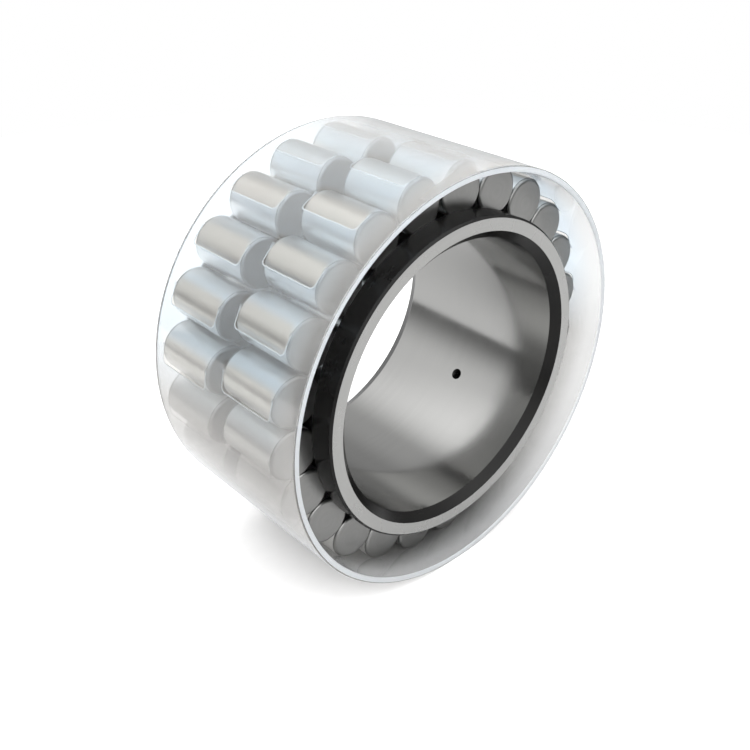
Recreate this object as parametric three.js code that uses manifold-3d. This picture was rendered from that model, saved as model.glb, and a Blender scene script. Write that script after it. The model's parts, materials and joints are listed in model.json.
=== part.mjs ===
// Double row, full complement cylindrical roller bearing without an outer ring, as it is
// supplied: one inner ring with two raceways, two rows of loose rollers, and a thin plastic
// sleeve that holds the rollers in place until the bearing is pushed into its gear.
//
// Millimetres, +Z up. The bearing axis is Y and the ring's marked front face looks towards -Y.
// The origin is the centre of the whole object's box, on the bearing axis.

import * as THREE from 'three';
import { mergeVertices } from 'three/addons/utils/BufferGeometryUtils.js';
import Module from 'manifold-3d';

// ---------- driving dimensions ----------

const BORE_DIAMETER = 50;
const DIAMETER_OVER_ROLLERS = 72.33;
const RING_WIDTH = 39;
const ROLLER_DIAMETER = 8.5;
const ROLLER_LENGTH = 13;
const ROLLERS_PER_ROW = 23;
const ROLLER_GAP = 0.05;

const RIB_DIAMETER = 58;
const SIDE_RIB_WIDTH = 4.5;
const BORE_CHAMFER = 1.5;
const REAR_LEAD_IN = 2.3;
const RIB_EDGE_CHAMFER = 0.35;
const ROLLER_END_CLEARANCE = 0.1;
const ROLLER_CORNER = 0.5;
const RACEWAY_CLEARANCE = 0.03;

const OIL_HOLE_DIAMETER = 1.5;
const OIL_HOLE_COUNT = 3;
const FIRST_OIL_HOLE_DEG = -36.3;

const SLEEVE_OUTER_DIAMETER = 74.6;
const SLEEVE_INNER_DIAMETER = 72.4;
const SLEEVE_LENGTH = 37.7;
const SLEEVE_OVERHANG = 1.65;
const SLEEVE_EDGE = 0.2;

// Angle of each row's first roller, measured from +X towards +Z.
const FRONT_ROW_START_DEG = 85.1;
const REAR_ROW_START_DEG = 88.2;

// The rollers push together, and a row's remaining play opens the gaps between these rollers.
const PLAY_FROM_ROLLER = 1;
const PLAY_TO_ROLLER = 7;

const RING_SEGMENTS = 64;
const SLEEVE_SEGMENTS = 48;
const ROLLER_SEGMENTS = 16;
const HOLE_SEGMENTS = 12;

// ---------- sizes that follow from them ----------

const BORE_RADIUS = BORE_DIAMETER / 2;
const RIB_RADIUS = RIB_DIAMETER / 2;
const ROLLER_RADIUS = ROLLER_DIAMETER / 2;
const PITCH_RADIUS = DIAMETER_OVER_ROLLERS / 2 - ROLLER_RADIUS;
const RACEWAY_RADIUS = PITCH_RADIUS - ROLLER_RADIUS - RACEWAY_CLEARANCE;
const RACEWAY_WIDTH = ROLLER_LENGTH + 2 * ROLLER_END_CLEARANCE;
const CLOSE_PITCH_DEG =
  2 * THREE.MathUtils.radToDeg(Math.asin((ROLLER_DIAMETER + ROLLER_GAP) / 2 / PITCH_RADIUS));
const ROW_PLAY_DEG = 360 - ROLLERS_PER_ROW * CLOSE_PITCH_DEG;

// Places along Y.
const RING_FRONT_Y = -(RING_WIDTH - SLEEVE_OVERHANG) / 2;
const RING_REAR_Y = RING_FRONT_Y + RING_WIDTH;
const RING_MIDDLE_Y = RING_FRONT_Y + RING_WIDTH / 2;
const SLEEVE_FRONT_Y = RING_FRONT_Y - SLEEVE_OVERHANG;
const FRONT_ROW_Y = RING_FRONT_Y + SIDE_RIB_WIDTH + RACEWAY_WIDTH / 2;
const REAR_ROW_Y = RING_REAR_Y - SIDE_RIB_WIDTH - RACEWAY_WIDTH / 2;

// ---------- finishes ----------

const ringSteel = new THREE.MeshStandardMaterial({ color: 0xa9acac, roughness: 0.32, metalness: 1 });
const rollerSteel = new THREE.MeshStandardMaterial({ color: 0x8b8d8c, roughness: 0.3, metalness: 1 });
const sleevePlastic = new THREE.MeshStandardMaterial({
  color: 0xdfe6ee,
  roughness: 0.35,
  metalness: 0,
  transparent: true,
  opacity: 0.45,
});

// ---------- helpers ----------

// Turns a closed outline of [radius, y] points about Y. The outline runs counter-clockwise in
// the radius-Y plane, so its faces point out. A closed ring repeats its first point.
function turned(outline, segments, startAngle = 0) {
  const points = outline.map(([radius, y]) => new THREE.Vector2(radius, y));
  return new THREE.LatheGeometry(points, segments, startAngle);
}

function solidFrom(wasm, geometry) {
  const bare = geometry.clone();
  bare.deleteAttribute('normal');
  bare.deleteAttribute('uv');
  const merged = mergeVertices(bare);
  const mesh = new wasm.Mesh({
    numProp: 3,
    vertProperties: new Float32Array(merged.attributes.position.array),
    triVerts: new Uint32Array(merged.index.array),
  });
  return new wasm.Manifold(mesh);
}

function geometryFrom(solid) {
  const mesh = solid.getMesh();
  const geometry = new THREE.BufferGeometry();
  geometry.setAttribute('position', new THREE.BufferAttribute(mesh.vertProperties, 3));
  geometry.setIndex(new THREE.BufferAttribute(mesh.triVerts, 1));
  geometry.computeVertexNormals();
  return geometry;
}

// Centre of a roller, at an angle measured from +X towards +Z.
function onPitchCircle(angleDeg, y) {
  const angle = THREE.MathUtils.degToRad(angleDeg);
  return new THREE.Vector3(PITCH_RADIUS * Math.cos(angle), y, PITCH_RADIUS * Math.sin(angle));
}

// ---------- inner ring ----------

function raceway(centreY) {
  const front = centreY - RACEWAY_WIDTH / 2;
  const rear = centreY + RACEWAY_WIDTH / 2;
  return [
    [RIB_RADIUS, front],
    [RACEWAY_RADIUS, front],
    [RACEWAY_RADIUS, rear],
    [RIB_RADIUS, rear],
  ];
}

function ringBlank() {
  const outline = [
    [BORE_RADIUS, RING_FRONT_Y + BORE_CHAMFER],
    [BORE_RADIUS + BORE_CHAMFER, RING_FRONT_Y],
    [RIB_RADIUS - RIB_EDGE_CHAMFER, RING_FRONT_Y],
    [RIB_RADIUS, RING_FRONT_Y + RIB_EDGE_CHAMFER],
    ...raceway(FRONT_ROW_Y),
    ...raceway(REAR_ROW_Y),
    [RIB_RADIUS, RING_REAR_Y - RIB_EDGE_CHAMFER],
    [RIB_RADIUS - RIB_EDGE_CHAMFER, RING_REAR_Y],
    [BORE_RADIUS + BORE_CHAMFER, RING_REAR_Y],
    [BORE_RADIUS, RING_REAR_Y - REAR_LEAD_IN],
    [BORE_RADIUS, RING_FRONT_Y + BORE_CHAMFER],
  ];
  return turned(outline, RING_SEGMENTS);
}

// A cutter for one oil hole, running out from inside the bore to beyond the centre rib.
function oilHoleCutter(angleDeg) {
  const reach = RIB_RADIUS - BORE_RADIUS + 4;
  const middle = (RIB_RADIUS + BORE_RADIUS) / 2;
  const angle = THREE.MathUtils.degToRad(angleDeg);
  const cutter = new THREE.CylinderGeometry(
    OIL_HOLE_DIAMETER / 2,
    OIL_HOLE_DIAMETER / 2,
    reach,
    HOLE_SEGMENTS,
  );
  cutter.rotateZ(-Math.PI / 2);
  cutter.translate(middle, 0, 0);
  cutter.rotateY(-angle);
  cutter.translate(0, RING_MIDDLE_Y, 0);
  return cutter;
}

function makeInnerRing(wasm) {
  let ring = solidFrom(wasm, ringBlank());
  for (let i = 0; i < OIL_HOLE_COUNT; i += 1) {
    const angleDeg = FIRST_OIL_HOLE_DEG + (i * 360) / OIL_HOLE_COUNT;
    ring = ring.subtract(solidFrom(wasm, oilHoleCutter(angleDeg)));
  }
  const mesh = new THREE.Mesh(geometryFrom(ring), ringSteel);
  mesh.name = 'inner_ring';
  return mesh;
}

// ---------- rollers ----------

function rollerGeometry() {
  const half = ROLLER_LENGTH / 2;
  const outline = [
    [0, -half],
    [ROLLER_RADIUS - ROLLER_CORNER, -half],
    [ROLLER_RADIUS, -half + ROLLER_CORNER],
    [ROLLER_RADIUS, half - ROLLER_CORNER],
    [ROLLER_RADIUS - ROLLER_CORNER, half],
    [0, half],
  ];
  return turned(outline, ROLLER_SEGMENTS);
}

// Angle of roller number 1, 2, 3... of a row that starts at startDeg.
function rollerAngle(startDeg, number) {
  const reached = (number - PLAY_FROM_ROLLER) / (PLAY_TO_ROLLER - PLAY_FROM_ROLLER);
  const play = ROW_PLAY_DEG * THREE.MathUtils.clamp(reached, 0, 1);
  return startDeg + (number - 1) * CLOSE_PITCH_DEG + play;
}

// One full row. Roller 01 is at the start angle and the numbers run from +X towards +Z.
function makeRollerRow(rowName, startDeg, y) {
  const row = new THREE.Group();
  const geometry = rollerGeometry();
  for (let number = 1; number <= ROLLERS_PER_ROW; number += 1) {
    const roller = new THREE.Mesh(geometry, rollerSteel);
    roller.name = `${rowName}_roller_${String(number).padStart(2, '0')}`;
    roller.position.copy(onPitchCircle(rollerAngle(startDeg, number), y));
    row.add(roller);
  }
  return row;
}

// ---------- transport sleeve ----------

// The facets touch the true round wall from outside, and half a facet of turn at the start puts
// a flat facet straight down, so the sleeve rests on it.
function makeSleeve() {
  const halfFacet = Math.PI / SLEEVE_SEGMENTS;
  const outside = 1 / Math.cos(halfFacet);
  const outer = (SLEEVE_OUTER_DIAMETER / 2) * outside;
  const inner = (SLEEVE_INNER_DIAMETER / 2) * outside;
  const front = 0;
  const rear = SLEEVE_LENGTH;
  const outline = [
    [inner, front + SLEEVE_EDGE],
    [inner + SLEEVE_EDGE, front],
    [outer - SLEEVE_EDGE, front],
    [outer, front + SLEEVE_EDGE],
    [outer, rear - SLEEVE_EDGE],
    [outer - SLEEVE_EDGE, rear],
    [inner + SLEEVE_EDGE, rear],
    [inner, rear - SLEEVE_EDGE],
    [inner, front + SLEEVE_EDGE],
  ];
  const sleeve = new THREE.Mesh(turned(outline, SLEEVE_SEGMENTS, halfFacet), sleevePlastic);
  sleeve.name = 'transport_sleeve';
  sleeve.position.y = SLEEVE_FRONT_Y;
  return sleeve;
}

// ---------- the bearing ----------

const wasm = await Module();
wasm.setup();

const bearing = new THREE.Group();
bearing.add(makeInnerRing(wasm));
bearing.add(makeRollerRow('front', FRONT_ROW_START_DEG, FRONT_ROW_Y));
bearing.add(makeRollerRow('rear', REAR_ROW_START_DEG, REAR_ROW_Y));
bearing.add(makeSleeve());

export default bearing;
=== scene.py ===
"""Looks for the double row, full complement cylindrical roller bearing in its transport sleeve.

Metres, +Z up, bearing axis along Y, front face towards -Y. Every CAD node is replaced by a
fine mesh of the same size: a turned inner ring with ground and black as-hardened zones, rollers
with rounded corners, and a thin milky translucent sleeve.
"""

import json
import math
import random

import bpy
import numpy as np
from mathutils import Matrix, Vector

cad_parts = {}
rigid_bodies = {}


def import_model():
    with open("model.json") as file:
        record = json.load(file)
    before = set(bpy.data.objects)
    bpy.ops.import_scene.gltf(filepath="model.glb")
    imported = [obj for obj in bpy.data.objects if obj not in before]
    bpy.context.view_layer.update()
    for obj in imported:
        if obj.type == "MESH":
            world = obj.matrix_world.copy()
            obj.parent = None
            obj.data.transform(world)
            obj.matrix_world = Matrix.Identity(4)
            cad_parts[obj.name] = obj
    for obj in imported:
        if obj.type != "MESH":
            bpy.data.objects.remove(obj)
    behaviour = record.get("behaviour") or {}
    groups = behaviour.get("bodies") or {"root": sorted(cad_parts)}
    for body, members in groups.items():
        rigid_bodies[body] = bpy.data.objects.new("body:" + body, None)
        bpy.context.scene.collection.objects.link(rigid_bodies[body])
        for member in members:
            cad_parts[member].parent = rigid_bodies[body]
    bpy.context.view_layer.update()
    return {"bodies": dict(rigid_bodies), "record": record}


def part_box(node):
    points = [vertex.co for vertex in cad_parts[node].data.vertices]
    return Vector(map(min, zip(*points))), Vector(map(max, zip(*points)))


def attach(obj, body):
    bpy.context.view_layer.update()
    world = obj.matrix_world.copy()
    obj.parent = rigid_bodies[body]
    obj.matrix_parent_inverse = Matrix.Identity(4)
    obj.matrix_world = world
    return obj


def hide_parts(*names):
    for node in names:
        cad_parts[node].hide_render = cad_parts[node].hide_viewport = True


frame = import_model()

MM = 0.001

# ---------- sizes, from the frame ----------

ring_low, ring_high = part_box("inner_ring")
sleeve_low, sleeve_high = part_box("transport_sleeve")
roller_low, roller_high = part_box("front_roller_01")

RIB_RADIUS = ring_high.x
RING_FRONT = ring_low.y
RING_REAR = ring_high.y
RING_MIDDLE = (RING_FRONT + RING_REAR) / 2
SLEEVE_RADIUS = sleeve_high.z
SLEEVE_FRONT = sleeve_low.y
SLEEVE_REAR = sleeve_high.y
ROLLER_RADIUS = (roller_high.x - roller_low.x) / 2
ROLLER_LENGTH = roller_high.y - roller_low.y
FRONT_ROW_Y = (roller_low.y + roller_high.y) / 2
REAR_ROW_Y = 2 * RING_MIDDLE - FRONT_ROW_Y

# ---------- sizes of the fine detail ----------

BORE_RADIUS = 25 * MM
BORE_CHAMFER = 1.5 * MM
REAR_LEAD_IN = 2.3 * MM
RACEWAY_RADIUS = 27.655 * MM
ROLLER_END_CLEARANCE = 0.1 * MM
RACEWAY_WIDTH = ROLLER_LENGTH + 2 * ROLLER_END_CLEARANCE
RIB_EDGE = 0.35 * MM
RELIEF_DEPTH = 0.25 * MM
RELIEF_WIDTH = 0.7 * MM
RELIEF_FLAT = 0.6 * RELIEF_WIDTH
EDGE_ROUND = 0.08 * MM
BORE_EDGE_ROUND = 0.15 * MM
OIL_HOLE_RADIUS = 0.75 * MM
OIL_HOLE_CHAMFER = 0.3 * MM
OIL_HOLE_OVERRUN = 1 * MM
OIL_HOLE_COUNT = 3
FIRST_OIL_HOLE_DEG = -36.3
ROLLER_CORNER = 0.55 * MM
ROLLER_CROWN = 0.015 * MM

# A roller is straight over this share of its length, and narrows from there to its ends.
STRAIGHT_SHARE = 0.75

SLEEVE_WALL = 1.1 * MM
SLEEVE_EDGE = 0.22 * MM

# The patch of sleeve wall that a roller's oil wets. Its ends and its edge towards the next roller
# are sharp, with a bead of oil whose paleness is a painted highlight, and its edge towards the
# roller before tapers off. SOFT_SHARE is the share of the width over which the edge turns from
# soft to sharp, up to the patch's middle.
CONTACT_WIDTH = 4.8 * MM
CONTACT_LENGTH = 12.2 * MM
CONTACT_CORNER = 0.8 * MM
CONTACT_EDGE = 0.3 * MM
CONTACT_TAPER = 1.4 * MM
CONTACT_WANDER = 0.04 * MM
SOFT_SHARE = 0.3
# Painted highlight: the extra milk that makes the bead of oil show pale.
BEAD_HIGHLIGHT_MILK = 0.85
CLEAR_TONE = (0.63, 0.65, 0.66)
CLEAR_ROUGHNESS = 0.04

# A row's play lies between its first roller and this one.
LOOSE_TO = 7
ROLLERS_PER_ROW = 23

# The oil thins towards the top of the sleeve and below its middle. Heights are from the axis.
TOP_OILY = 32.3 * MM
TOP_DRAINED = 34.8 * MM
LOW_DRAINED = -3 * MM
LOW_OILY = 2.5 * MM
DRAINED = 0.35

# The wall's haze grows from this height up, from the least to the most share of its milk.
HAZE_FROM = 5 * MM
HAZE_LEAST = 0.8
HAZE_MOST = 1.1

# Painted light: ahead of the rollers the inside of the wall is paler, with a slightly darker tone
# towards the bottom as painted shade. That ends at LIP_END.
LIP_END = RING_FRONT + 5 * MM
LIP_FADE = 4.5 * MM
LIP_PAINTED_LIGHT_TONE = (0.86, 0.895, 0.94)
LIP_PAINTED_SHADE_TONE = (0.84, 0.865, 0.89)
LIP_MILK = 0.06

# Painted shade: the lower part of the wall is greyed towards this tone, fully below the first height
# and not at all above the second.
PAINTED_SHADE_TONE = (0.4, 0.41, 0.415)
PAINTED_SHADE_BELOW = -4 * MM
PAINTED_SHADE_TO = 11 * MM

RING_SEGMENTS = 256
SLEEVE_SEGMENTS = 288
ROLLER_SEGMENTS = 96
HOLE_SEGMENTS = 48
ARC_STEPS = 5
SUPPORT = 0.04 * MM
ON_AXIS = 0.0001 * MM
SHARP_DEG = 32


# ---------- mesh helpers ----------


def rounded_outline(corners, closed):
    """Turns corners into a dense outline.

    A corner is (radius, y, rounding, zone), and the zone is that of the edge leaving it and of
    the rounding, unless a fifth value gives the rounding a zone of its own. Returns the points
    and the zone of each edge. Straight edges get a point close to each end, so that smooth
    shading stays flat on them.
    """
    count = len(corners)
    points = []
    zones = []

    def put(point, zone):
        points.append(point)
        zones.append(zone)

    for i, (radius, y, rounding, zone, *arc_zone) in enumerate(corners):
        here = np.array([radius, y])
        before = np.array(corners[i - 1][:2]) if closed or i > 0 else None
        after = np.array(corners[(i + 1) % count][:2]) if closed or i < count - 1 else None
        if rounding == 0 or before is None or after is None:
            put(here, zone)
        else:
            into = (here - before) / np.linalg.norm(here - before)
            out = (after - here) / np.linalg.norm(after - here)
            turn = math.acos(max(-1.0, min(1.0, float(into @ out))))
            reach = rounding * math.tan(turn / 2)
            start = here - into * reach
            end = here + out * reach
            for step in range(ARC_STEPS + 1):
                t = step / ARC_STEPS
                point = (1 - t) ** 2 * start + 2 * t * (1 - t) * here + t * t * end
                put(point, arc_zone[0] if arc_zone and step < ARC_STEPS else zone)
    return with_supports(points, zones, closed)


def with_supports(points, zones, closed):
    """The same outline with a point SUPPORT away from both ends of each longer edge."""
    dense = []
    dense_zones = []
    count = len(points)
    for i, point in enumerate(points):
        dense.append(point)
        dense_zones.append(zones[i])
        if i == count - 1 and not closed:
            break
        after = points[(i + 1) % count]
        length = np.linalg.norm(after - point)
        if length > 6 * SUPPORT:
            step = (after - point) / length * SUPPORT
            dense.extend([point + step, after - step])
            dense_zones.extend([zones[i], zones[i]])
    return dense, dense_zones


def turned_mesh(name, corners, segments, closed=True):
    """A body turned about Y from an outline, with one material index for each zone."""
    points, zones = rounded_outline(corners, closed)
    rows = len(points)
    vertices = []
    index = []
    for radius, y in points:
        on_axis = radius < ON_AXIS
        row = []
        for s in range(1 if on_axis else segments):
            angle = 2 * math.pi * s / segments
            vertices.append((radius * math.cos(angle), y, radius * math.sin(angle)))
            row.append(len(vertices) - 1)
        index.append(row)
    faces = []
    face_zones = []
    for r in range(rows if closed else rows - 1):
        low = index[r]
        high = index[(r + 1) % rows]
        for s in range(segments):
            t = (s + 1) % segments
            if len(low) == 1:
                faces.append((low[0], high[s], high[t]))
            elif len(high) == 1:
                faces.append((low[s], high[0], low[t]))
            else:
                faces.append((low[s], high[s], high[t], low[t]))
            face_zones.append(zones[r])
    mesh = bpy.data.meshes.new(name)
    mesh.from_pydata(vertices, [], faces)
    mesh.polygons.foreach_set("material_index", face_zones)
    smooth(mesh)
    return mesh


def smooth(mesh):
    mesh.polygons.foreach_set("use_smooth", [True] * len(mesh.polygons))
    mesh.set_sharp_from_angle(angle=math.radians(SHARP_DEG))
    mesh.update()


def add_object(name, mesh, materials):
    for material in materials:
        if material.name not in mesh.materials:
            mesh.materials.append(material)
    piece = bpy.data.objects.new(name, mesh)
    bpy.context.scene.collection.objects.link(piece)
    return piece


# ---------- material helpers ----------

# Depths in metres of the relief that the grinding lines and the hardening scale leave.
GRINDING_DEPTH = 0.0015 * MM
SCALE_DEPTH = 0.003 * MM
ROUGHNESS_WANDER = 0.02
SCALE_DARK = (0.005, 0.005, 0.005)
SCALE_LIGHT = (0.008, 0.0076, 0.0072)
PLASTIC_IOR = 1.5
SLANT_POWER = 3.0
SHEEN_TONE = (0.9, 0.95, 1)


class Nodes:
    """A small builder for one material's node tree."""

    def __init__(self, name):
        self.material = bpy.data.materials.new(name)
        self.material.use_nodes = True
        self.tree = self.material.node_tree
        self.shader = self.tree.nodes["Principled BSDF"]

    def add(self, kind, **settings):
        node = self.tree.nodes.new(kind)
        for key, value in settings.items():
            setattr(node, key, value)
        return node

    def join(self, source, target):
        self.tree.links.new(source, target)

    def math(self, operation, a, b=0.0, c=0.0):
        node = self.add("ShaderNodeMath", operation=operation)
        for socket, value in zip(node.inputs, (a, b, c)):
            if isinstance(value, (int, float)):
                socket.default_value = value
            else:
                self.join(value, socket)
        return node.outputs[0]

    def position(self):
        return self.add("ShaderNodeTexCoord").outputs["Object"]

    def separate(self, vector):
        """The x, y and z of a vector."""
        node = self.add("ShaderNodeSeparateXYZ")
        self.join(vector, node.inputs[0])
        return node.outputs

    def stretched(self, scale):
        """Object coordinates scaled by a different amount along each axis."""
        node = self.add("ShaderNodeMapping")
        node.inputs["Scale"].default_value = scale
        self.join(self.position(), node.inputs["Vector"])
        return node.outputs[0]

    def radial(self, across, around):
        """Coordinates that change fast with distance from the Y axis and slowly around it."""
        x, _, z = self.separate(self.position())
        squares = self.math("ADD", self.math("MULTIPLY", x, x), self.math("MULTIPLY", z, z))
        radius = self.math("SQRT", squares)
        node = self.add("ShaderNodeCombineXYZ")
        self.join(self.math("MULTIPLY", x, around), node.inputs[0])
        self.join(self.math("MULTIPLY", radius, across), node.inputs[1])
        self.join(self.math("MULTIPLY", z, around), node.inputs[2])
        return node.outputs[0]

    def noise(self, vector, scale=1.0, detail=3.0, roughness=0.55):
        node = self.add("ShaderNodeTexNoise")
        node.inputs["Scale"].default_value = scale
        node.inputs["Detail"].default_value = detail
        node.inputs["Roughness"].default_value = roughness
        self.join(vector, node.inputs["Vector"])
        return node.outputs[0]

    def spread(self, value, low, high, at=(0.3, 0.7)):
        """Maps what lies between the two values of at onto low to high. Noise fills 0.3 to 0.7."""
        node = self.add("ShaderNodeMapRange")
        node.inputs["From Min"].default_value = at[0]
        node.inputs["From Max"].default_value = at[1]
        node.inputs["To Min"].default_value = low
        node.inputs["To Max"].default_value = high
        self.join(value, node.inputs["Value"])
        return node.outputs[0]

    def blend(self, factor, a, b):
        """A colour between a and b."""
        node = self.add("ShaderNodeMix", data_type="RGBA")
        for socket, value in ((node.inputs[6], a), (node.inputs[7], b)):
            if isinstance(value, bpy.types.NodeSocket):
                self.join(value, socket)
            else:
                socket.default_value = (*value, 1)
        self.join(factor, node.inputs[0])
        return node.outputs[2]

    def bump(self, height, distance, strength):
        node = self.add("ShaderNodeBump")
        node.inputs["Distance"].default_value = distance
        node.inputs["Strength"].default_value = strength
        self.join(height, node.inputs["Height"])
        self.join(node.outputs[0], self.shader.inputs["Normal"])

    def set(self, **values):
        for key, value in values.items():
            socket = self.shader.inputs[key.replace("_", " ")]
            if isinstance(value, bpy.types.NodeSocket):
                self.join(value, socket)
            else:
                socket.default_value = value


def ground_steel(name, tone, roughness, marks, contrast=0.05, relief=0.4, lines=9000, detail=4):
    """Ground bearing steel. marks picks the way the grinding lines run: "around" the axis on a
    cylinder, or "rings" on an end face. lines and detail set how fine they are."""
    n = Nodes(name)
    if marks == "around":
        fine = n.noise(n.stretched((60, lines, 60)), detail=detail)
        broad = n.noise(n.stretched((40, 900, 40)), detail=3)
    else:
        fine = n.noise(n.radial(lines, 160), detail=detail)
        broad = n.noise(n.radial(900, 90), detail=3)
    cloud = n.noise(n.position(), scale=160, detail=3)
    mix = n.math("ADD", n.math("MULTIPLY", fine, 0.75), n.math("MULTIPLY", broad, 0.25))
    darker = tuple(c * (1 - contrast) for c in tone)
    lighter = tuple(c * (1 + contrast) for c in tone)
    n.set(
        Base_Color=n.blend(n.spread(mix, 0, 1), darker, lighter),
        Metallic=1.0,
        Roughness=n.spread(cloud, roughness - ROUGHNESS_WANDER, roughness + ROUGHNESS_WANDER),
    )
    n.bump(fine, GRINDING_DEPTH, relief)
    return n.material


def black_steel():
    """The black scale that hardening leaves where the ring isn't ground."""
    n = Nodes("black_hardened_steel")
    cloud = n.noise(n.position(), scale=220, detail=5, roughness=0.6)
    turning = n.noise(n.stretched((50, 2600, 50)), detail=3)
    tone = n.math("ADD", n.math("MULTIPLY", cloud, 0.7), n.math("MULTIPLY", turning, 0.3))
    n.set(
        Base_Color=n.blend(n.spread(tone, 0, 1), SCALE_DARK, SCALE_LIGHT),
        Metallic=0.0,
        Roughness=n.spread(cloud, 0.2, 0.26),
        Specular_IOR_Level=0.14,
    )
    n.bump(tone, SCALE_DEPTH, 0.3)
    return n.material


def sleeve_plastic(name, roughness, milk, tone, slant_milk=0.0, sheen=0.0, low_shade=1.0):
    """Milky translucent polyethylene. tone colours the light that it passes and scatters.
    slant_milk and sheen are the veil that thickens where the wall is seen at a slant, and
    low_shade is painted shade: it greys the colour of the lower part of the wall."""
    n = Nodes(name)
    cloud = n.noise(n.position(), scale=70, detail=4)
    drawn = n.noise(n.stretched((220, 25, 220)), detail=2)
    paler = tuple(min(1.0, c * 1.03) for c in tone)
    # Painted shade: the colour of the lower part of the wall is multiplied by low_shade.
    low_tone = tuple(c * low_shade for c in tone)
    unshaded = n.spread(n.separate(n.position())[2], 0, 1, at=(PAINTED_SHADE_BELOW, PAINTED_SHADE_TO))
    slant = n.math("POWER", n.add("ShaderNodeLayerWeight").outputs["Facing"], SLANT_POWER)
    milkiness = n.math("ADD", n.math("MULTIPLY", slant, slant_milk), milk)
    n.set(
        Base_Color=n.blend(unshaded, low_tone, n.blend(n.spread(cloud, 0, 1), tone, paler)),
        Transmission_Weight=n.math("SUBTRACT", 1.0, milkiness),
        Roughness=n.spread(drawn, roughness * 0.9, roughness * 1.1),
        IOR=PLASTIC_IOR,
        Sheen_Weight=sheen,
        Sheen_Roughness=0.3,
        Sheen_Tint=(*SHEEN_TONE, 1),
    )
    return n.material


def roller_angle(row, number):
    """Angle of a roller about the bearing axis, from +X towards +Z."""
    low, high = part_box(f"{row}_roller_{number:02d}")
    centre = (low + high) / 2
    return math.atan2(centre.z, centre.x)


def oil_contact(n, row, row_y):
    """Where a roller of the row touches the sleeve and its oil wets the wall: 1 there and 0
    elsewhere, and the same for the bead of oil along the patch's sharp edges, whose paleness is a
    painted highlight.

    Worked out in the row's own turning frame, so the wet patches go round with the rollers. The
    rollers stand evenly from the first to LOOSE_TO, and evenly but closer from there on.
    """
    body = frame["bodies"][f"{row}_row"]
    x, y, z = n.separate(n.add("ShaderNodeTexCoord", object=body).outputs["Object"])
    first = roller_angle(row, 1)
    loose = (roller_angle(row, LOOSE_TO) - first) % math.tau
    turned = n.math("WRAP", n.math("SUBTRACT", n.math("ARCTAN2", z, x), first), math.tau, 0.0)
    loose_count = n.spread(turned, 0, LOOSE_TO - 1, at=(0, loose))
    close_count = n.spread(turned, 0, ROLLERS_PER_ROW + 1 - LOOSE_TO, at=(loose, math.tau))
    count = n.math("ADD", loose_count, close_count)
    phase = n.math("SUBTRACT", n.math("FRACT", n.math("ADD", count, 0.5)), 0.5)
    pitch = math.tau * (SLEEVE_RADIUS - SLEEVE_WALL) / ROLLERS_PER_ROW
    side = n.math("MULTIPLY", phase, pitch)
    across = n.math("ABSOLUTE", side)
    along = n.math("ABSOLUTE", n.math("SUBTRACT", y, row_y))
    beyond_x = n.math("MAXIMUM", n.math("SUBTRACT", across, CONTACT_WIDTH / 2 - CONTACT_CORNER), 0.0)
    beyond_y = n.math("MAXIMUM", n.math("SUBTRACT", along, CONTACT_LENGTH / 2 - CONTACT_CORNER), 0.0)
    squares = n.math("ADD", n.math("POWER", beyond_x, 2.0), n.math("POWER", beyond_y, 2.0))
    distance = n.math("SUBTRACT", n.math("SQRT", squares), CONTACT_CORNER)
    wander = n.spread(n.noise(n.position(), scale=260, detail=2), -CONTACT_WANDER, CONTACT_WANDER)
    sharp = n.spread(side, 0, 1, at=(-SOFT_SHARE * CONTACT_WIDTH, 0))
    edge = n.spread(sharp, CONTACT_TAPER, CONTACT_EDGE, at=(0, 1))
    inside = n.math("SUBTRACT", 0.5, n.math("DIVIDE", n.math("ADD", distance, wander), edge))
    wet = n.spread(inside, 0, 1, at=(0, 1))
    dry = n.math("SUBTRACT", 1.0, wet)
    # Painted highlight: a thin band along the patch's sharp edges, made pale later with extra milk.
    bead = n.math("MULTIPLY", n.math("MULTIPLY", n.math("MULTIPLY", wet, dry), 4.0), sharp)
    return wet, bead


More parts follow.
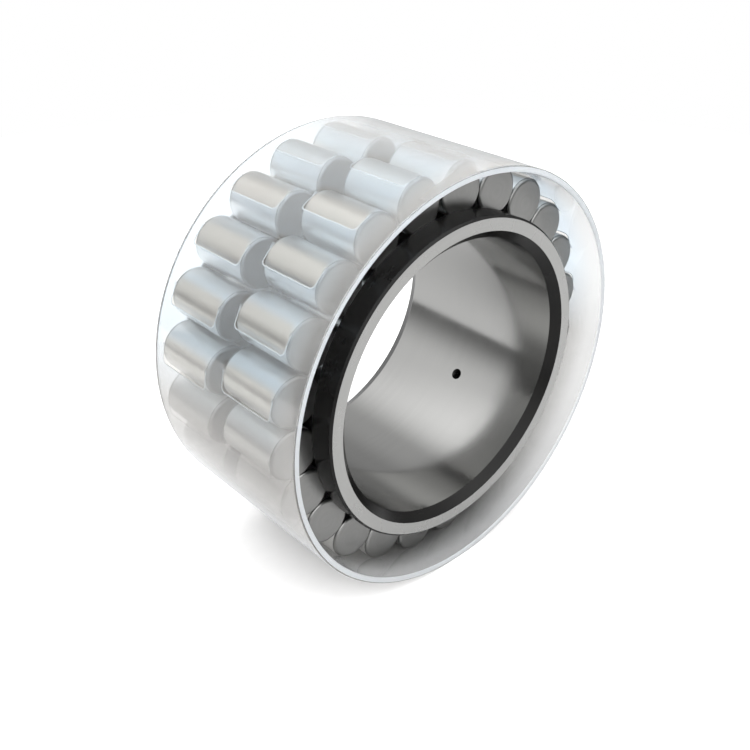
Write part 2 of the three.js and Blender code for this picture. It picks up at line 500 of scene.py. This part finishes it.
def wetted_plastic(name, roughness, milk, tone):
    """The sleeve's inner wall: dull and milky, but clear where oil joins it to a roller, with a
    bead of oil along each clear patch whose paleness is a painted highlight. Its colour also holds
    painted light ahead of the rollers and painted shade towards the bottom."""
    n = Nodes(name)
    front, front_bead_highlight = oil_contact(n, "front", FRONT_ROW_Y)
    rear, rear_bead_highlight = oil_contact(n, "rear", REAR_ROW_Y)
    _, y, height = n.separate(n.position())
    top = n.spread(height, 1, DRAINED, at=(TOP_OILY, TOP_DRAINED))
    low = n.spread(height, DRAINED, 1, at=(LOW_DRAINED, LOW_OILY))
    oily = n.math("MULTIPLY", top, low)
    wet = n.math("MULTIPLY", n.math("MAXIMUM", front, rear), oily)
    dry = n.math("SUBTRACT", 1.0, wet)
    bead = n.math("MULTIPLY", n.math("MAXIMUM", front_bead_highlight, rear_bead_highlight), oily)
    lip = n.spread(y, 1, 0, at=(LIP_END - LIP_FADE, LIP_END))
    haze = n.spread(height, milk * HAZE_LEAST, milk * HAZE_MOST, at=(HAZE_FROM, SLEEVE_RADIUS))
    haze = n.math("ADD", haze, n.math("MULTIPLY", lip, LIP_MILK))
    # Painted highlight: the bead along the clear patches gets extra milk, so it shows pale.
    milkiness = n.math("ADD", n.math("MULTIPLY", dry, haze), n.math("MULTIPLY", bead, BEAD_HIGHLIGHT_MILK))
    unshaded = n.spread(height, 0, 1, at=(PAINTED_SHADE_BELOW, PAINTED_SHADE_TO))
    # Painted shade: the wall's colour greys towards the bottom.
    wall_tone = n.blend(unshaded, PAINTED_SHADE_TONE, tone)
    # Painted light ahead of the rollers, with a slightly darker lower tone as painted shade.
    dry_tone = n.blend(lip, wall_tone, n.blend(unshaded, LIP_PAINTED_SHADE_TONE, LIP_PAINTED_LIGHT_TONE))
    n.set(
        Base_Color=n.blend(wet, dry_tone, CLEAR_TONE),
        Transmission_Weight=n.math("SUBTRACT", 1.0, milkiness),
        Roughness=n.spread(dry, CLEAR_ROUGHNESS, roughness, at=(0, 1)),
        IOR=PLASTIC_IOR,
    )
    return n.material


# ---------- materials ----------

face_steel = ground_steel("ground_face_steel", (0.35, 0.35, 0.343), 0.28, "rings")
bore_steel = ground_steel(
    "ground_bore_steel", (0.335, 0.335, 0.328), 0.14, "around", contrast=0.03, relief=0.2
)
raceway_steel = ground_steel("raceway_steel", (0.42, 0.42, 0.41), 0.2, "around")
hardened_black = black_steel()
# Painted light and shade: the rollers' sides and end faces are one ground steel, given a lighter tone
# on the lit sides and a much darker tone on the end faces as painted shade.
roller_steel = ground_steel(
    "roller_steel", (0.76, 0.76, 0.75), 0.3, "around", contrast=0.02, relief=0.03, lines=900, detail=1
)
shaded_roller_end_steel = ground_steel(
    "shaded_roller_end_steel", (0.23, 0.23, 0.225), 0.3, "rings", relief=0.2, lines=1600, detail=1
)
# The outer wall carries painted shade on its lower part (low_shade).
outer_plastic = sleeve_plastic(
    "sleeve_outer_plastic", 0.08, 0.02, (1.0, 0.955, 0.9), slant_milk=0.5, sheen=0.4, low_shade=0.7
)
inner_plastic = wetted_plastic("sleeve_inner_plastic", 0.1, 0.19, (0.68, 0.83, 0.99))
rim_plastic = sleeve_plastic("sleeve_rim_plastic", 0.35, 0.5, (0.76, 0.79, 0.82))

# ---------- inner ring ----------

FACE, BORE, RACEWAY, BLACK = range(4)


def groove_corners(centre):
    """One raceway between its ribs, with a relief cut in each corner."""
    front = centre - RACEWAY_WIDTH / 2
    rear = centre + RACEWAY_WIDTH / 2
    deep = RACEWAY_RADIUS - RELIEF_DEPTH
    return [
        (RIB_RADIUS, front, EDGE_ROUND, FACE),
        (deep, front, EDGE_ROUND, BLACK),
        (deep, front + RELIEF_FLAT, 0, BLACK),
        (RACEWAY_RADIUS, front + RELIEF_WIDTH, 0, RACEWAY),
        (RACEWAY_RADIUS, rear - RELIEF_WIDTH, 0, BLACK),
        (deep, rear - RELIEF_FLAT, 0, BLACK),
        (deep, rear, EDGE_ROUND, FACE),
        (RIB_RADIUS, rear, EDGE_ROUND, BLACK),
    ]


def ring_mesh():
    chamfer_radius = BORE_RADIUS + BORE_CHAMFER
    corners = [
        (BORE_RADIUS, RING_FRONT + BORE_CHAMFER, BORE_EDGE_ROUND, BLACK),
        (chamfer_radius, RING_FRONT, EDGE_ROUND, FACE),
        (RIB_RADIUS - RIB_EDGE, RING_FRONT, EDGE_ROUND, BLACK),
        (RIB_RADIUS, RING_FRONT + RIB_EDGE, EDGE_ROUND, BLACK),
        *groove_corners(FRONT_ROW_Y),
        *groove_corners(REAR_ROW_Y),
        (RIB_RADIUS, RING_REAR - RIB_EDGE, EDGE_ROUND, BLACK),
        (RIB_RADIUS - RIB_EDGE, RING_REAR, EDGE_ROUND, FACE),
        (chamfer_radius, RING_REAR, EDGE_ROUND, BLACK),
        (BORE_RADIUS, RING_REAR - REAR_LEAD_IN, BORE_EDGE_ROUND, BORE),
    ]
    return turned_mesh("inner_ring_mesh", corners, RING_SEGMENTS)


def hole_cutter(angle_deg):
    """A drill shape for one oil hole, flared at the bore. It stands along +X, then turns."""
    wide = OIL_HOLE_RADIUS + 2 * OIL_HOLE_CHAMFER
    corners = [
        (0, BORE_RADIUS - OIL_HOLE_CHAMFER, 0, BLACK),
        (wide, BORE_RADIUS - OIL_HOLE_CHAMFER, 0, BLACK),
        (OIL_HOLE_RADIUS, BORE_RADIUS + OIL_HOLE_CHAMFER, 0, BLACK),
        (OIL_HOLE_RADIUS, RIB_RADIUS + OIL_HOLE_OVERRUN, 0, BLACK),
        (0, RIB_RADIUS + OIL_HOLE_OVERRUN, 0, BLACK),
    ]
    mesh = turned_mesh("oil_hole_cutter", corners, HOLE_SEGMENTS, closed=False)
    onto_x = Matrix.Rotation(-math.pi / 2, 4, "Z")
    around = Matrix.Rotation(-math.radians(angle_deg), 4, "Y")
    mesh.transform(Matrix.Translation((0, RING_MIDDLE, 0)) @ around @ onto_x)
    return mesh


def make_ring():
    materials = [face_steel, bore_steel, raceway_steel, hardened_black]
    ring = add_object("bearing_inner_ring", ring_mesh(), materials)
    for i in range(OIL_HOLE_COUNT):
        angle = FIRST_OIL_HOLE_DEG + 360 * i / OIL_HOLE_COUNT
        cutter = add_object("oil_hole_cutter", hole_cutter(angle), materials)
        cut = ring.modifiers.new("oil_hole", "BOOLEAN")
        cut.operation = "DIFFERENCE"
        cut.solver = "EXACT"
        cut.object = cutter
        bpy.context.view_layer.update()
        evaluated = ring.evaluated_get(bpy.context.evaluated_depsgraph_get())
        ring.data = bpy.data.meshes.new_from_object(evaluated)
        ring.modifiers.clear()
        bpy.data.objects.remove(cutter)
    smooth(ring.data)
    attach(ring, "ring")
    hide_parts("inner_ring")


# ---------- rollers ----------

ROLLER_SIDE, ROLLER_END = range(2)
ROLLER_TURN_SEED = 7


def roller_mesh():
    half = ROLLER_LENGTH / 2
    waist = ROLLER_RADIUS - ROLLER_CROWN
    crown_start = half * STRAIGHT_SHARE
    corners = [
        (0, -half, 0, ROLLER_END),
        (waist, -half, ROLLER_CORNER, ROLLER_SIDE, ROLLER_END),
        (ROLLER_RADIUS, -crown_start, 0, ROLLER_SIDE),
        (ROLLER_RADIUS, crown_start, 0, ROLLER_SIDE),
        (waist, half, ROLLER_CORNER, ROLLER_END),
        (0, half, 0, ROLLER_END),
    ]
    return turned_mesh("roller_mesh", corners, ROLLER_SEGMENTS, closed=False)


def make_rollers():
    mesh = roller_mesh()
    materials = [roller_steel, shaded_roller_end_steel]
    turn = random.Random(ROLLER_TURN_SEED)
    for body, nodes in frame["record"]["behaviour"]["bodies"].items():
        for node in nodes:
            if "_roller_" not in node:
                continue
            low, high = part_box(node)
            roller = add_object(node.replace("_roller_", "_row_roller_"), mesh, materials)
            roller.location = (low + high) / 2
            roller.rotation_euler.y = turn.randrange(4) * math.pi / 2
            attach(roller, body)
            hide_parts(node)


# ---------- transport sleeve ----------

OUTSIDE, INSIDE, RIM = range(3)


def make_sleeve():
    inner = SLEEVE_RADIUS - SLEEVE_WALL
    corners = [
        (inner, SLEEVE_FRONT, SLEEVE_EDGE, RIM),
        (SLEEVE_RADIUS, SLEEVE_FRONT, SLEEVE_EDGE, OUTSIDE),
        (SLEEVE_RADIUS, SLEEVE_REAR, SLEEVE_EDGE, RIM),
        (inner, SLEEVE_REAR, SLEEVE_EDGE, INSIDE),
    ]
    mesh = turned_mesh("sleeve_mesh", corners, SLEEVE_SEGMENTS)
    sleeve = add_object("translucent_sleeve", mesh, [outer_plastic, inner_plastic, rim_plastic])
    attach(sleeve, "sleeve")
    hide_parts("transport_sleeve")


make_ring()
make_rollers()
make_sleeve()

# ---------- floor, light and camera ----------

FLOOR_RADIUS = 0.3
FLOOR_SIDES = 64
FLOOR_BOUNCE = 0.62
FLOOR_SEEN = 0.94
FLOOR_GRAIN = 0.01
CAMERA_AZIMUTH_DEG = -42.34
CAMERA_ELEVATION_DEG = 30.80
CAMERA_DISTANCE = 170.4 * MM
CAMERA_AIM = Vector((-3.55, -0.7, -4.87)) * MM
CAMERA_LENS = 45.12
AMBIENT = 0.28

# Through the sleeve the surround is seen plain white after one reflection at most.
REFLECTION_LIMIT = 1.5


def make_floor():
    """A pale paper floor. It is lighter where it is seen directly than in the light it throws
    back on the bearing, so that only the tight part of the shadow shows."""
    mesh = bpy.data.meshes.new("floor_mesh")
    rim = []
    for i in range(FLOOR_SIDES):
        angle = 2 * math.pi * i / FLOOR_SIDES
        rim.append((FLOOR_RADIUS * math.cos(angle), FLOOR_RADIUS * math.sin(angle), 0))
    mesh.from_pydata(rim, [], [tuple(range(FLOOR_SIDES))])
    n = Nodes("floor_paper")
    grain = n.spread(n.noise(n.position(), scale=400, detail=3), 0, 1)
    bounced = n.blend(grain, (FLOOR_BOUNCE - FLOOR_GRAIN,) * 3, (FLOOR_BOUNCE + FLOOR_GRAIN,) * 3)
    seen = n.blend(grain, (FLOOR_SEEN - FLOOR_GRAIN,) * 3, (FLOOR_SEEN + FLOOR_GRAIN,) * 3)
    n.set(
        Base_Color=n.blend(n.add("ShaderNodeLightPath").outputs["Is Camera Ray"], bounced, seen),
        Roughness=0.9,
        Specular_IOR_Level=0.1,
    )
    floor = add_object("floor", mesh, [n.material])
    floor.location.z = sleeve_low.z


def direction(azimuth_deg, elevation_deg):
    """Unit vector from the object towards a place around it. Azimuth 0 is straight in front of
    the front face, and 90 is on the +X side."""
    a = math.radians(azimuth_deg)
    e = math.radians(elevation_deg)
    return Vector((math.sin(a) * math.cos(e), -math.cos(a) * math.cos(e), math.sin(e)))


def make_world():
    """A white studio. The surround is plain white where it is seen directly or through the
    sleeve. It lights and is reflected as a dim surround with soft bright lobes, like large
    softboxes far away."""
    world = bpy.data.worlds.new("studio")
    bpy.context.scene.world = world
    world.use_nodes = True
    tree = world.node_tree
    tree.nodes.clear()

    def node(kind, **settings):
        made = tree.nodes.new(kind)
        for key, value in settings.items():
            setattr(made, key, value)
        return made

    def arithmetic(operation, a, b):
        made = node("ShaderNodeMath", operation=operation)
        for socket, value in zip(made.inputs, (a, b)):
            if isinstance(value, (int, float)):
                socket.default_value = value
            else:
                tree.links.new(value, socket)
        return made.outputs[0]

    look = node("ShaderNodeTexCoord").outputs["Generated"]
    total = AMBIENT
    for towards, inner_deg, outer_deg, strength in SOFTBOXES:
        dot = node("ShaderNodeVectorMath", operation="DOT_PRODUCT")
        tree.links.new(look, dot.inputs[0])
        dot.inputs[1].default_value = towards
        ramp = node("ShaderNodeMapRange", interpolation_type="SMOOTHSTEP")
        ramp.inputs["From Min"].default_value = math.cos(math.radians(outer_deg))
        ramp.inputs["From Max"].default_value = math.cos(math.radians(inner_deg))
        ramp.inputs["To Max"].default_value = strength
        tree.links.new(dot.outputs["Value"], ramp.inputs["Value"])
        total = arithmetic("ADD", ramp.outputs[0], total)
    path = node("ShaderNodeLightPath")
    depth, through_depth = path.outputs["Ray Depth"], path.outputs["Transmission Depth"]
    reflections = arithmetic("SUBTRACT", depth, through_depth)
    few = arithmetic("LESS_THAN", reflections, REFLECTION_LIMIT)
    through = arithmetic("MULTIPLY", path.outputs["Is Transmission Ray"], few)
    seen = arithmetic("MAXIMUM", path.outputs["Is Camera Ray"], through)
    lit = node("ShaderNodeBackground")
    lit.inputs["Color"].default_value = (1, 1, 1, 1)
    tree.links.new(total, lit.inputs["Strength"])
    white = node("ShaderNodeBackground")
    white.inputs["Color"].default_value = (1, 1, 1, 1)
    mix = node("ShaderNodeMixShader")
    tree.links.new(seen, mix.inputs[0])
    tree.links.new(lit.outputs[0], mix.inputs[1])
    tree.links.new(white.outputs[0], mix.inputs[2])
    output = node("ShaderNodeOutputWorld")
    tree.links.new(mix.outputs[0], output.inputs[0])


# For each softbox its direction, core and edge angles in degrees, and strength.
SOFTBOXES = [
    (direction(-30, 62), 25, 70, 2.6),
    (direction(60, 50), 10, 50, 0.8),
    (direction(-100, 40), 10, 45, 0.4),
    (direction(-145, 38), 14, 46, 0.8),
    (direction(165, 50), 8, 36, 0.27),
    (direction(140, 35), 8, 40, 0.25),
]


def make_camera():
    back = direction(CAMERA_AZIMUTH_DEG, CAMERA_ELEVATION_DEG)
    data = bpy.data.cameras.new("camera")
    data.lens = CAMERA_LENS
    data.clip_start = 0.005
    data.clip_end = 50
    camera = bpy.data.objects.new("camera", data)
    camera.location = CAMERA_AIM + back * CAMERA_DISTANCE
    camera.rotation_mode = "QUATERNION"
    camera.rotation_quaternion = (-back).to_track_quat("-Z", "Y")
    bpy.context.scene.collection.objects.link(camera)
    bpy.context.scene.camera = camera


make_floor()
make_world()
make_camera()
bpy.context.scene.view_settings.view_transform = "Standard"
